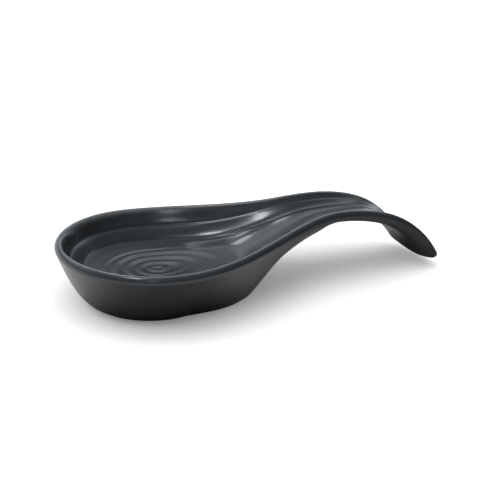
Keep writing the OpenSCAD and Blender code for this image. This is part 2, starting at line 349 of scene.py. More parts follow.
    def tip_share(self, run):
        """Share of the way from the climb's end to the tip."""
        return ease((run - self.ramp_to) / (self.reach - self.ramp_to))

    def climbing_floor(self, run):
        """Depth of the floor's edge below the rim line on its climb."""
        return mix(self.floor_depth, self.channel_depth, self.ramp(run))

    def floor_here(self, run):
        """Depth of the floor's edge below the rim line, out to the tip."""
        return mix(self.climbing_floor(run), self.tip_channel, self.tip_share(run))

    def inside_depth(self, plan):
        """Depth of the inside below the rim line: the ledge, the floor and its dish."""
        run = plan[..., 0]
        deep = self.inset(plan) / self.spread(run)
        lip = self.lip_at(run)
        upper = self.ledge_depth * ease((deep - lip) / (self.ledge_inset - lip))
        below = (deep - self.ledge_inset) / (self.floor_inset - self.ledge_inset)
        lower = (self.floor_depth - self.ledge_depth) * ease(below)
        out = np.linalg.norm(plan - self.well, axis=-1)
        dish = self.dish_depth * (1 - ease(out / (self.bowl_r - self.floor_inset)))
        return (upper + lower) * self.floor_here(run) / self.floor_depth + dish

    def fluted_depth(self, plan):
        """Depth of the inside with its bead, its hollowed flutes and the bend at its mouth."""
        run = plan[..., 0]
        spread = self.spread(run)
        deep = self.inset(plan) / spread
        bead = self.bead_h * np.exp(-((deep - self.floor_inset) / self.bead_w) ** 2)
        full = ease((run - self.flute_from) / (self.flute_to - self.flute_from))
        step = (deep - self.ledge_inset) / (self.floor_inset - self.ledge_inset)
        step = np.clip(step, 0, 1)
        hollow = (self.floor_depth - self.ledge_depth) * self.floor_here(run) / self.floor_depth
        flute = self.flute * full * hollow * 2 * step * (1 - step) ** 2
        wide = np.maximum(self.side_width(run) / spread - self.floor_inset, self.corner_r)
        across = np.clip((deep - self.floor_inset) / wide, 0, 1)
        fading = 1 - self.tip_share(run)
        channel = self.channel_dish * full * fading * (1 - (1 - across) ** 2)
        # The floor ends in a round tongue, where it turns up into the handle
        past = np.hypot(np.maximum(run - self.tongue_at, 0), plan[..., 1]) - self.tongue_r
        turned = np.logaddexp(0, past / self.tongue_soft)
        turned = self.tongue_slope * self.tongue_soft * turned
        plain = self.floor_depth - self.climbing_floor(run)
        at = self.tongue_at
        near = ease((run - self.tongue_from * at) / (self.tongue_in * at))
        gone = ease((run - self.tongue_until * at) / (self.tongue_out * at))
        part = near * ease(across * self.tongue_side) * (1 - gone)
        return self.inside_depth(plan) - bead + flute + channel + part * (plain - turned)

    def foot_edge(self, way):
        """Distance of the foot's edge from the well's centre along a heading."""
        ahead = np.maximum(0, way[..., 0])
        round_foot = self.foot_r - self.well_shift * np.minimum(0, way[..., 0])
        return mix(round_foot, self.foot_reach - self.well_shift, ahead ** 2)

    def back_depth(self, plan):
        """Depth of the handle's back: its own rounded depth, or a wall below the channel."""
        run = plan[..., 0]
        past_neck = ease((run - self.neck_at) / (self.reach - self.neck_at))
        full = mix(self.handle_t, self.tip_t, past_neck)
        wide = np.minimum(self.back_round, self.side_width(run))
        over = 1 - np.minimum(1, self.inset(plan) / wide)
        rounding = np.sqrt(1 - over * over)
        wall = -self.inside_depth(plan) - self.wall_t * rounding
        lip = self.lip_at(run)
        return -soft_min(-mix(lip, full, rounding), wall, lip)

    def underside(self, plan):
        """Underside over plan points: the belly where it is lower, else the handle's back."""
        run = plan[..., 0]
        from_well = plan - self.well
        way = unit(from_well)
        deep = self.inset(plan)
        past_foot = np.linalg.norm(from_well, axis=-1) - self.foot_edge(way)
        past_foot = np.maximum(0, past_foot)
        whole = np.minimum(past_foot + deep, self.belly_run)
        climb = past_foot / np.maximum(whole, self.run_least)
        power = mix(self.belly_power, self.climb_power, np.maximum(0, way[..., 0]) ** 2)
        belly = mix(self.bare_h, self.rim_line(run)[1] - self.lip_at(run), climb ** power)
        back = self.bend(plan, -self.back_depth(plan))
        soft = self.corner_soft * np.minimum(1, deep / self.corner_fade)
        soft = soft * ease(run / self.foot_reach)
        soft = np.maximum(self.corner_least, soft * np.minimum(1, climb))
        back[..., 2] = soft_min(back[..., 2], belly, soft)
        return back

    def rim_plan(self):
        """Rim in the plan from the tip round the far side, the bowl's end and the near side."""
        side = self.corner[1] * np.arange(self.end_steps) / self.end_steps
        end = np.stack([self.end_line(side), side], axis=-1)
        turns = np.pi / 2 * (np.arange(self.corner_steps) + 0.5) / self.corner_steps
        corner = self.corner + self.corner_r * heading(turns)
        run = self.end_at * (1 - np.arange(self.side_steps) / self.side_steps)
        along = np.stack([run, self.side_width(run)], axis=-1)
        turns = np.pi / 2 * (1 + np.arange(self.bowl_steps + 1) / self.bowl_steps)
        bowl = [self.bowl_end, self.bowl_r] * heading(turns)
        far = np.concatenate([end, corner, along, bowl])
        near = far[-2:0:-1] * [1, -1]
        return np.concatenate([far, near]), len(far)

    def lay_out(self):
        """Sections of the plan: rim, directions straight in, and headings at the well."""
        self.rim, far = self.rim_plan()
        self.sections = len(self.rim)
        along = unit(np.roll(self.rim, -1, axis=0) - np.roll(self.rim, 1, axis=0))
        self.inward = np.stack([-along[:, 1], along[:, 0]], axis=-1)
        index = np.arange(self.sections)
        self.rank = np.minimum(index, self.sections - index)
        self.handle_share = far - self.bowl_steps - 1
        bowl_turn = math.atan2(self.bowl_r, -self.well_shift)
        even = bowl_turn * self.rank / self.handle_share
        straight = np.arctan2(np.abs(self.rim[:, 1]), self.rim[:, 0] - self.well_shift)
        turn = np.where(self.rank < self.handle_share, even, straight)
        self.way = heading(np.where(index < far, turn, -turn))

    def side_share(self, plan):
        """Plan points with their side as a share of the width."""
        run = plan[..., 0]
        return np.stack([run, plan[..., 1] / self.side_width(run)], axis=-1)

    def way_points(self, start, finish, steps, sharp):
        """Points from start to finish that run along the handle, then turn out to the rim."""
        first, final = self.side_share(start), self.side_share(finish)
        straight = mix(first, final, self.way_bend)
        ends = self.end_steps + self.corner_steps
        at_end = self.end_at - self.end_spread * (ends - self.rank)
        turn_run = np.where(self.rank < ends, at_end, final[:, 0])
        # The turns ease off towards the bowl, where the sections run straight
        turn = sharp * ease((self.handle_share - self.rank) / self.turn_fade)
        middle = np.stack([mix(straight[:, 0], turn_run, turn), straight[:, 1]], axis=-1)
        t = np.asarray(steps)[:, None, None]
        even = mix(mix(first, middle, t), mix(middle, final, t), t)
        return np.stack([even[..., 0], even[..., 1] * self.side_width(even[..., 0])], axis=-1)

    def glazed_skin(self):
        """Rings of points from the well over the lip to the wiped foot, and how many are inside."""
        round_lip = self.lip_at(self.rim[:, 0])
        crest = self.rim + (self.crest_in * round_lip)[:, None] * self.inward
        share = np.arange(1, self.ring_steps + 1) / self.ring_steps
        rings = self.well + (share * self.ring_reach)[:, None, None] * self.way
        steps = np.arange(1, self.climb_steps + 1) / self.climb_steps
        climb = self.way_points(rings[-1], crest, steps, 1)
        inside = np.concatenate([rings, climb])
        top = self.bend(inside, -self.fluted_depth(inside))
        turns = np.pi / 2 * (1 - np.arange(self.lip_steps + 1) / self.lip_steps)
        ins, down = (np.outer(1 - wave(turns), round_lip) for wave in (np.cos, np.sin))
        lip = self.bend(self.rim + ins[..., None] * self.inward, -down)
        share = (np.arange(1, self.edge_steps) / self.edge_steps) ** 2
        ins = np.outer(share, self.crest_in * round_lip)
        edge = self.rim + ins[..., None] * self.inward
        foot = self.well + self.foot_edge(self.way)[:, None] * self.way
        steps = np.arange(self.under_steps, -1, -1) / self.under_steps
        under = self.way_points(foot, crest, steps, self.under_turn)
        below = self.underside(np.concatenate([edge, under]))
        return np.concatenate([top, lip, below]), len(top)

    def settle(self, low, high):
        """Puts the skin and its centres in their place, with the middle between two corners."""
        skin, self.inside = self.glazed_skin()
        middle = (skin[..., 0].min() + skin[..., 0].max()) / 2
        self.shift = np.array([(low[0] + high[0]) / 2 - middle, 0, 0])
        self.skin = skin + self.shift
        self.top = self.bend(self.well, -self.fluted_depth(self.well)) + self.shift
        self.base = np.array([*self.well, 0.0]) + self.shift
        self.ring_x = self.ring_at + self.shift[0]

    def foot_points(self, ins, height):
        """Ring of points on the foot in their place, drawn in from its edge."""
        plan = self.well + (self.foot_edge(self.way) - ins)[:, None] * self.way
        heights = np.full((self.sections, 1), height)
        return np.concatenate([plan, heights], axis=-1) + self.shift

    def hollow_rings(self, raised):
        """Rings of the hollow from the foot ring to its flat, moved up by a height."""
        rings = []
        depth = self.hollow_depth - self.bare_h
        for k in range(1, self.hollow_steps + 1):
            turn = math.pi / 2 * k / self.hollow_steps
            ins = self.hollow_inset + depth * (1 - math.cos(turn))
            height = self.bare_h + depth * math.sin(turn)
            rings.append(self.foot_points(ins, height + raised))
        return np.array(rings)


def main_form(context):
    """Form of the piece from the scene's sizes, in the part's own place."""
    scene = context.scene
    form = Form(scene.rest_rim, scene.rest_inside, scene.rest_under)
    form.lay_out()
    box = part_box("glaze_coat")
    form.settle(*box)
    return form


# Meshes from rings of points

def ring_normals(rings, along):
    """Unit normals of rings of points, from the steps along them."""
    across = np.roll(rings, -1, axis=1) - np.roll(rings, 1, axis=1)
    return unit(np.cross(along, across))


def drawn_in(rings, first, final, depth):
    """Rings moved inwards along their own normals, between what comes before and after."""
    before, after = (np.broadcast_to(end, rings[:1].shape) for end in (first, final))
    whole = np.concatenate([before, rings, after])
    return rings - depth * ring_normals(rings, whole[2:] - whole[:-2])


# Every third ring of the skin is enough for the clay under the glaze
INNER_STEP = 3


def inner_skin(form):
    """Clay surface under the glaze, down to the wiped foot, and which of its rings are inside."""
    last = len(form.skin) - 1
    kept = np.unique(np.r_[np.arange(INNER_STEP - 1, last + 1, INNER_STEP), last])
    foot = form.foot_points(form.bare_h, 0.0)
    return drawn_in(form.skin[kept], form.top, foot, form.glaze_t), kept < form.inside


def closed_mesh(name, first, rings, final):
    """Closed mesh through rings of points between a first and a last centre."""
    levels, sections = rings.shape[:2]
    points = np.concatenate([[first], rings.reshape(-1, 3), [final]])
    index = 1 + np.arange(levels * sections).reshape(levels, sections)
    after = np.roll(index, -1, axis=1)
    quads = np.stack([index[:-1], index[1:], after[1:], after[:-1]], axis=-1).reshape(-1, 4)
    fan_in = np.stack([np.zeros(sections, int), index[0], after[0]], axis=-1)
    fan_out = np.stack([after[-1], index[-1], np.full(sections, len(points) - 1)], axis=-1)
    mesh = bpy.data.meshes.new(name)
    mesh.from_pydata(points.tolist(), [], fan_in.tolist() + quads.tolist() + fan_out.tolist())
    mesh.polygons.foreach_set("use_smooth", np.ones(len(mesh.polygons), bool))
    mesh.update()
    return mesh


def point_attribute(mesh, name, values):
    """Stores one number a point."""
    layer = mesh.attributes.new(name, "FLOAT", "POINT")
    layer.data.foreach_set("value", np.asarray(values, np.float32))


def ring_attribute(mesh, name, rings, values):
    """Stores numbers given for the first centre, each ring and the last centre."""
    counts = np.r_[1, np.full(len(rings), rings.shape[1]), 1]
    point_attribute(mesh, name, np.repeat(values, counts))


def outward_attribute(mesh, first, ways, final):
    """Stores the way out of the clay at each point."""
    layer = mesh.attributes.new("outwards", "FLOAT_VECTOR", "POINT")
    ways = np.concatenate([[first], ways.reshape(-1, 3), [final]])
    layer.data.foreach_set("vector", np.asarray(ways, np.float32).ravel())


# Nodes

class Wires:
    """Adds nodes to a tree and links them."""

    def __init__(self, tree):
        self.tree = tree

    def node(self, kind, inputs=None, **settings):
        """New node with its settings, its constant inputs and its links."""
        made = self.tree.nodes.new(kind)
        for key, value in settings.items():
            setattr(made, key, value)
        for key, value in (inputs or {}).items():
            if isinstance(value, bpy.types.NodeSocket):
                self.tree.links.new(value, made.inputs[key])
            else:
                made.inputs[key].default_value = value
        return made

    def maths(self, operation, *values):
        """Output of a Math node."""
        inputs = dict(enumerate(values))
        return self.node("ShaderNodeMath", inputs, operation=operation).outputs[0]

    def vector(self, operation, inputs, output=0):
        """Output of a Vector Math node."""
        return self.node("ShaderNodeVectorMath", inputs, operation=operation).outputs[output]

    def away(self, place, centre):
        """Distance of a place from a centre."""
        return self.vector("LENGTH", {0: self.vector("SUBTRACT", {0: place, 1: centre})}, 1)

    def parts(self, place):
        """The x, y and z of a place."""
        return self.node("ShaderNodeSeparateXYZ", {"Vector": place}).outputs

    def ease(self, value, low, high, to_low=0.0, to_high=1.0):
        """Value mapped smoothly from one range to another."""
        inputs = {"Value": value, "From Min": low, "From Max": high,
                  "To Min": to_low, "To Max": to_high}
        return self.node("ShaderNodeMapRange", inputs, interpolation_type="SMOOTHSTEP").outputs[0]

    def mixed(self, share, one, two):
        """Colour between two others."""
        made = self.node("ShaderNodeMix", data_type="RGBA")
        sockets = [s for s in made.inputs if s.enabled]
        for socket, value in zip(sockets, (share, one, two)):
            if isinstance(value, bpy.types.NodeSocket):
                self.tree.links.new(value, socket)
            else:
                socket.default_value = (*value, 1.0)
        return next(s for s in made.outputs if s.enabled)

    def noise(self, place, scale, detail, rough=0.5):
        """Value of a noise texture."""
        inputs = {"Vector": place, "Scale": scale, "Detail": detail, "Roughness": rough}
        return self.node("ShaderNodeTexNoise", inputs).outputs[0]

    def waver(self, place, seed, amount, scale, detail):
        """Seeded noise of up to an amount either way."""
        inputs = {"Vector": place, "W": seed, "Scale": scale, "Detail": detail}
        value = self.node("ShaderNodeTexNoise", inputs, noise_dimensions="4D").outputs[0]
        both_ways = self.maths("MULTIPLY", amount, 2.0)
        return self.maths("MULTIPLY", self.maths("SUBTRACT", value, 0.5), both_ways)

    def named(self, name, kind):
        """Attribute of a mesh in a geometry tree."""
        made = self.node("GeometryNodeInputNamedAttribute", {"Name": name}, data_type=kind)
        return made.outputs[0]

    def stored(self, name):
        """Attribute of a mesh in a material."""
        return self.node("ShaderNodeAttribute", attribute_name=name).outputs["Fac"]


# Throwing rings

RING_TREE = "Throwing rings"
SEED = 3.0
# Inputs of the tree and the sizes that set them
RING_INPUTS = {"Ring X": "ring_x", "Draw": "ring_draw", "Pitch": "ring_pitch",
               "Reach": "ring_reach", "Relief": "ring_relief",
               "Ring waver": "ring_waver", "Skin waver": "skin_waver"}
# Distances ahead over which the rings are drawn out and over which they grow faint
DRAWN_AHEAD = (-0.006, 0.014)
FAINT_AHEAD = (-0.010, 0.025, 1.0, 0.25)
# Scale and detail of the noise that moves the hand and that leaves the skin uneven
HAND_NOISE = (38.0, 1.0)
SKIN_NOISE = (30.0, 0.0)


def throwing_tree(values):
    """Node tree that raises the throwing rings and leaves the skin slightly uneven."""
    tree = bpy.data.node_groups.new(RING_TREE, "GeometryNodeTree")
    for side in ("INPUT", "OUTPUT"):
        tree.interface.new_socket("Geometry", in_out=side, socket_type="NodeSocketGeometry")
    for name, value in values.items():
        socket = tree.interface.new_socket(name, in_out="INPUT", socket_type="NodeSocketFloat")
        socket.default_value = value
    tree.interface.new_socket("Material", in_out="INPUT", socket_type="NodeSocketMaterial")
    w = Wires(tree)
    given = w.node("NodeGroupInput").outputs
    place = w.node("GeometryNodeInputPosition").outputs[0]
    # The mouth was drawn out to the handle, and the rings with it
    parts = w.parts(place)
    ahead = w.maths("SUBTRACT", parts["X"], given["Ring X"])
    drawn = w.maths("MULTIPLY", ahead, w.ease(ahead, *DRAWN_AHEAD, 1.0, given["Draw"]))
    spot = w.node("ShaderNodeCombineXYZ", {"X": drawn, "Y": parts["Y"]}).outputs[0]
    far = w.vector("LENGTH", {0: spot}, 1)
    # The hand moves in and out a little while the wheel turns
    wander = w.waver(place, given["Seed"], given["Ring waver"], *HAND_NOISE)
    near = w.maths("ADD", far, wander)
    turn = w.maths("DIVIDE", w.maths("MULTIPLY", near, 2 * math.pi), given["Pitch"])
    wave = w.maths("MULTIPLY", w.maths("SUBTRACT", 1.0, w.maths("COSINE", turn)), 0.5)
    # The last ring dies out, and all of them grow faint towards the handle
    left = w.maths("DIVIDE", w.maths("SUBTRACT", given["Reach"], far), given["Pitch"])
    fade = w.maths("MULTIPLY", w.ease(left, 0.0, 1.0), w.ease(ahead, *FAINT_AHEAD))
    height = w.maths("MULTIPLY", given["Relief"], w.named("inside", "FLOAT"))
    rise = w.maths("MULTIPLY", w.maths("MULTIPLY", wave, fade), height)
    rings = w.node("ShaderNodeCombineXYZ", {"Z": rise}).outputs[0]
    # The skin is uneven except where it is held
    uneven = w.waver(place, given["Seed"], given["Skin waver"], *SKIN_NOISE)
    free = w.maths("SUBTRACT", 1.0, w.named("held", "FLOAT"))
    outwards = w.named("outwards", "FLOAT_VECTOR")
    skin = w.vector("SCALE", {0: outwards, "Scale": w.maths("MULTIPLY", uneven, free)})
    offset = w.vector("ADD", {0: rings, 1: skin})
    geometry = given["Geometry"]
    for kind, inputs in (("GeometryNodeSetPosition", {"Offset": offset}),
                         ("GeometryNodeRealizeInstances", {}),
                         ("GeometryNodeSetMaterial", {"Material": given["Material"]})):
        geometry = w.node(kind, {"Geometry": geometry, **inputs}).outputs[0]
    w.node("NodeGroupOutput", {0: geometry})
    return tree


def thrown(context, form, mesh, material):
    """Object of a mesh after the throwing tree, as a plain mesh."""
    piece = bpy.data.objects.new(mesh.name, mesh)
    context.scene.collection.objects.link(piece)
    values = {name: getattr(form, size) for name, size in RING_INPUTS.items()}
    values["Seed"] = SEED
    tree = bpy.data.node_groups.get(RING_TREE) or throwing_tree(values)
    modifier = piece.modifiers.new(RING_TREE, "NODES")
    modifier.node_group = tree
    values["Material"] = material
    for item in tree.interface.items_tree:
        if item.in_out == "INPUT" and item.name in values:
            modifier[item.identifier] = values[item.name]
    context.view_layer.update()
    evaluated = piece.evaluated_get(context.evaluated_depsgraph_get())
    plain = bpy.data.meshes.new_from_object(evaluated)
    piece.modifiers.remove(modifier)
    piece.data = plain
    plain.name = piece.name
    bpy.data.meshes.remove(mesh)
    for name in ("outwards", "held"):
        plain.attributes.remove(plain.attributes[name])
    return piece


# Times that the crown of the skin is spread over its neighbours
CROWN_SPREADS = 4


def read_rows(items, name, width, kind=float):
    """Values of a mesh's items, a row each."""
    values = np.empty(len(items) * width, kind)
    items.foreach_get(name, values)
    return values.reshape(-1, width)


def crown_for_shade_and_highlight(mesh):
    """Stores how sharply the skin is crowned or hollowed, which sets painted shade in hollows and
    paler edges of thin glaze and painted highlight.
    """
    points = read_rows(mesh.vertices, "co", 3)
    normals = read_rows(mesh.vertex_normals, "vector", 3)
    one, two = read_rows(mesh.edges, "vertices", 2, int).T
    step = points[two] - points[one]
    span = np.sqrt(np.maximum((step ** 2).sum(axis=1), TINY))
    crown = np.zeros(len(points))
    share = np.zeros(len(points))
    for at, sign in ((one, 1), (two, -1)):
        np.add.at(crown, at, -sign * (normals[at] * step).sum(axis=1) / span)
        np.add.at(share, at, span)
    crown = crown / np.maximum(share, TINY)
    # Spread over the neighbours, so that the change of colour is soft
    for _ in range(CROWN_SPREADS):
        total = np.zeros(len(points))
        number = np.zeros(len(points))
        for at, other in ((one, two), (two, one)):
            np.add.at(total, at, crown[other])
            np.add.at(number, at, 1)
        crown = (crown + total / np.maximum(number, 1)) / 2
    point_attribute(mesh, "crown", crown)


# Materials

GLAZE = "Satin charcoal glaze"
# Noise in the glaze: scale, detail and roughness
CLOUD_NOISE = (26.0, 4.0, 0.55)
MOTTLE_NOISE = (420.0, 2.0)
SATIN_NOISE = (90.0, 3.0)
PITTING_NOISE = (700.0, 2.0)
# Ranges in the glaze, and the values that they are mapped to: painted shade in hollows, paler edges
# of thin glaze and painted highlight, and painted shade towards the foot
CLOUDS = (0.32, 0.70)
GROOVE_SHADE_CROWN = (-8.0, -40.0, 0.0, 0.75)
THIN_AND_HIGHLIGHT_CROWN = (80.0, 260.0)
THIN_MOTTLE = (0.25, 0.60, 0.7, 1.0)
FOOT_SHADE_HEIGHT = (0.002, 0.018, 0.95, 0.0)
SATIN_ROUGH = (0.25, 0.75, 0.21, 0.27)
# Strength and distance of the fine pitting
PITTING = (0.02, 0.0004)
GLAZE_GLOSS = {"IOR": 1.5, "Coat Weight": 0.3, "Coat Roughness": 0.09}

# Noise in the clay, its ranges, and the strength and distance of its tooth
TONE_NOISE = (60.0, 4.0)
GRAIN_NOISE = (900.0, 2.0)
CHALK_NOISE = (300.0, 2.0)
TOOTH_NOISE = (1200.0, 3.0)
TONES = (0.3, 0.7)
GRAINS = (0.56, 0.70)
CHALK_ROUGH = (0.3, 0.7, 0.72, 0.9)
TOOTH = (0.4, 0.0003)
CLAY_SHADE = 0.8
CLAY_GLOSS = {"Specular IOR Level": 0.3}


def new_material(name):
    """Material with its nodes cleared, its wires, and the place on the piece."""
    material = bpy.data.materials.new(name)
    material.use_nodes = True
    material.node_tree.nodes.clear()
    w = Wires(material.node_tree)
    return material, w, w.node("ShaderNodeTexCoord").outputs["Object"]


def finish_surface(w, base, rough, height, bump, gloss):
    """Ends a material in its shader, with a fine bump."""
    strength, distance = bump
    bump = w.node("ShaderNodeBump", {"Height": height, "Strength": strength, "Distance": distance})
    shader = w.node("ShaderNodeBsdfPrincipled", {"Base Color": base, "Roughness": rough,
                                                 "Normal": bump.outputs[0], **gloss})
    w.node("ShaderNodeOutputMaterial", {"Surface": shader.outputs[0]})


def glaze_material(colours):
    """Satin charcoal glaze, paler on crowned edges from thin glaze and a painted highlight, with
    painted shade in hollows and towards the foot.
    """
    found = bpy.data.materials.get(GLAZE)
    if found:
        return found
    material, w, place = new_material(GLAZE)
    crown = w.stored("crown")
    cloud = w.ease(w.noise(place, *CLOUD_NOISE), *CLOUDS)
    base = w.mixed(cloud, colours.glaze, colours.glaze_light)
    # Painted shade: darker in hollows, creases and the ring grooves
    base = w.mixed(w.ease(crown, *GROOVE_SHADE_CROWN), base, colours.glaze_pool)
    # Paler on crowned edges and along the lip's crest: partly thin glaze, partly a painted
    # highlight
    mottle = w.ease(w.noise(place, *MOTTLE_NOISE), *THIN_MOTTLE)
    edges = w.maths("MAXIMUM", w.ease(crown, *THIN_AND_HIGHLIGHT_CROWN), w.stored("crest"))
    base = w.mixed(w.maths("MULTIPLY", edges, mottle), base, colours.glaze_thin)
    # Painted shade: darker and slightly browner towards the foot, near the table
    base = w.mixed(w.ease(w.parts(place)["Z"], *FOOT_SHADE_HEIGHT), base, colours.glaze_foot)
    rough = w.ease(w.noise(place, *SATIN_NOISE), *SATIN_ROUGH)
    finish_surface(w, base, rough, w.noise(place, *PITTING_NOISE), PITTING, GLAZE_GLOSS)
    return material


def clay_material(colours):
    """Bare fired stoneware, speckled and rough."""
    material, w, place = new_material("Bare stoneware")
    tone = w.ease(w.noise(place, *TONE_NOISE), *TONES)
    base = w.mixed(tone, colours.clay, tuple(CLAY_SHADE * c for c in colours.clay))
    grain = w.ease(w.noise(place, *GRAIN_NOISE), *GRAINS)
    base = w.mixed(grain, base, colours.clay_dark)
    rough = w.ease(w.noise(place, *CHALK_NOISE), *CHALK_ROUGH)
    finish_surface(w, base, rough, w.noise(place, *TOOTH_NOISE), TOOTH, CLAY_GLOSS)
    return material


# Pieces

# Rows over which the pale line on the lip fades, inside its crest and outside it; the line is
# partly thin glaze and partly a painted highlight
HIGHLIGHT_LINE_INSIDE = 4
HIGHLIGHT_LINE_OUTSIDE = 3.5
# Steps in and up round the foot ring's outer and inner edge, in bare heights
FOOT_OUTER = ((0.35, 0.4), (0.7, 0.1), (1.0, 0.0))
FOOT_INNER = ((0.0, 0.0), (0.3, 0.1), (0.65, 0.4), (1.0, 1.0))


def finish_piece(context, form, mesh, material, node):
    """Throws a mesh, and puts the piece in the place of its node."""
    piece = thrown(context, form, mesh, material)
    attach(piece, "root")
    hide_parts(node)
    return piece


class REST_OT_glaze(bpy.types.Operator):
    """Makes the glaze over the bowl and handle"""
    bl_idname = "spoon_rest.glaze"
    bl_label = "Glaze coat"

    def execute(self, context):
        form = main_form(context)
        outer = len(form.skin)
        clay, clay_inside = inner_skin(form)
        rings = np.concatenate([form.skin, clay[::-1]])
        under_top = form.top - [0, 0, form.glaze_t]
        mesh = closed_mesh("glaze_coat_fine", form.top, rings, under_top)
        # The glaze runs thin along the crest of the lip, and a painted highlight line is laid along
        # it there too
        row = np.arange(len(rings)) - form.inside
        crest = np.where(row < 0, ease(1 + (row + 1) / HIGHLIGHT_LINE_INSIDE), ease(1 - row / HIGHLIGHT_LINE_OUTSIDE))
        crest = crest * (row < form.lip_steps)
        ring_attribute(mesh, "crest", rings, np.r_[0, crest, 0])
        inside = np.r_[np.arange(outer) < form.inside, clay_inside[::-1]]
        ring_attribute(mesh, "inside", rings, np.r_[1, inside, 1])
        ring_attribute(mesh, "held", rings, np.zeros(len(rings) + 2))
        # Both faces of the glaze move the same way
        outwards = ring_normals(rings, np.gradient(rings, axis=0))
        outwards[outer:] *= -1
        outward_attribute(mesh, UP, outwards, UP)
        material = glaze_material(context.scene.rest_colours)
        piece = finish_piece(context, form, mesh, material, "glaze_coat")
        crown_for_shade_and_highlight(piece.data)
        return {"FINISHED"}


class REST_OT_clay(bpy.types.Operator):
    """Makes the clay body with its wiped foot ring and hollow"""
    bl_idname = "spoon_rest.clay"
    bl_label = "Clay body"

    def execute(self, context):
        form = main_form(context)
        clay, clay_inside = inner_skin(form)
        bare, ring_in = form.bare_h, form.bare_h + form.foot_ring_w
        foot = [form.skin[-1]]
        foot += [form.foot_points(i * bare, h * bare) for i, h in FOOT_OUTER]
        foot += [form.foot_points(ring_in + i * bare, h * bare) for i, h in FOOT_INNER]
        below = np.concatenate([np.array(foot), form.hollow_rings(form.glaze_t)])
        rings = np.concatenate([clay, below])
        top = form.top - [0, 0, form.glaze_t]
        flat = form.base + [0, 0, form.hollow_depth + form.glaze_t]
        mesh = closed_mesh("clay_body_fine", top, rings, flat)
        ring_attribute(mesh, "inside", rings, np.r_[1, clay_inside, np.zeros(len(below) + 1)])
        held = np.r_[np.zeros(1 + len(clay)), np.ones(len(below) + 1)]
        ring_attribute(mesh, "held", rings, held)
        outward_attribute(mesh, UP, ring_normals(rings, np.gradient(rings, axis=0)), DOWN)
        material = clay_material(context.scene.rest_colours)
        finish_piece(context, form, mesh, material, "clay_body")
        return {"FINISHED"}


class REST_OT_underside(bpy.types.Operator):
    """Makes the glaze in the hollow inside the foot ring"""
    bl_idname = "spoon_rest.underside"
    bl_label = "Underside glaze"

    def execute(self, context):
        form = main_form(context)
        edge = form.foot_points(form.hollow_inset, form.bare_h)
        upper = form.hollow_rings(form.glaze_t)[::-1]
        rings = np.concatenate([upper, [edge], form.hollow_rings(0.0)])
        flat = form.base + [0, 0, form.hollow_depth]
        upper_flat = form.base + [0, 0, form.hollow_depth + form.glaze_t]
        mesh = closed_mesh("underside_glaze_fine", upper_flat, rings, flat)
        ring_attribute(mesh, "inside", rings, np.zeros(len(rings) + 2))
        ring_attribute(mesh, "held", rings, np.ones(len(rings) + 2))
        outward_attribute(mesh, NOWHERE, np.zeros(rings.shape), NOWHERE)
        material = glaze_material(context.scene.rest_colours)
        piece = finish_piece(context, form, mesh, material, "underside_glaze")
        crown_for_shade_and_highlight(piece.data)
        return {"FINISHED"}


# Stage

# Pixels along a side of the picture, and where the camera starts to see
PICTURE = 480.0
CLIP_START = 0.01
LAMP_TINT = (0.86, 0.95, 1.0)
SHINE_TINT = (0.86, 0.96, 1.0)

# Place and target in metres, width and height, watts, whether it lights the piece or the floor,
# and whether it shows in the gloss
Lamp = namedtuple("Lamp", "name place target size power on_piece shines")
LAMPS = (
    Lamp("key_lamp", (-0.34, 0.15, 1.00), (0, 0, 0.02), (0.55, 0.55), 8.7, True, False),
    Lamp("shine_lamp", (-0.34, 0.06, 1.00), (0, 0, 0.02), (0.36, 0.12), 1.8, True, True),
    Lamp("fill_lamp", (-0.50, -0.85, 0.75), (-0.03, 0, 0.03), (0.25, 0.25), 0.5, True, True),
    Lamp("back_lamp", (0.00, 0.92, 0.99), (0, 0, 0.02), (0.14, 0.10), 0.38, True, True),
    Lamp("floor_lamp", (-0.45, -0.15, 1.00), (0, 0, 0), (1.40, 1.40), 9.5, False, False),
    Lamp("floor_soft_lamp", (0, 0.10, 0.90), (0, 0.10, 0), (2.60, 2.60), 12.5, False, False),
)

FLOOR_HALF = 3.0
# The floor's glow by the distance from a place
GLOW_CENTRE = (-0.02, -0.01, 0)
GLOW = (0.06, 0.32, 0.20, 1.0)
# The floor's bounce by the distance from the near side of the bowl, and by the run to the handle: a
# painted shadow, darker beside the bowl and towards the handle's end
NEAR_SIDE = Vector((-0.005, -0.03, 0))
BOWL_SHADOW_BOUNCE = (0.020, 0.065, 0.18, 1.0)
HANDLE_SHADOW_BOUNCE = (0.03, 0.09, 1.0, 0.45)
# The surroundings in the gloss: more behind the piece, a skyline, and a band with two soft edges
BEHIND = (0.0, 0.8, 0.05, 1.0)
SKYLINE = (0.08, 0.26, 1.0, 0.0)
BAND_BELOW = (0.38, 0.52, 0.12, 1.0)
BAND_ABOVE = (0.50, 0.85, 0.95, 0.05)
# Even light of the surroundings on the piece
SOFT_LIGHT = 0.20


def area_light(context, row, lit):
    """Soft round lamp that faces its target and lights the objects given."""
    light = bpy.data.lights.new(row.name, "AREA")
    light.shape = "ELLIPSE"
    light.size, light.size_y = row.size
    light.energy = row.power
    lamp = bpy.data.objects.new(row.name, light)
    lamp.location = row.place
    lamp.visible_glossy = row.shines
    if row.shines:
        light.color = LAMP_TINT
    aim = Vector(row.target) - Vector(row.place)
    lamp.rotation_euler = aim.to_track_quat("-Z", "Y").to_euler()
    context.scene.collection.objects.link(lamp)
    lamp.light_linking.receiver_collection = bpy.data.collections.new(row.name)
    for piece in lit:
        lamp.light_linking.receiver_collection.objects.link(piece)


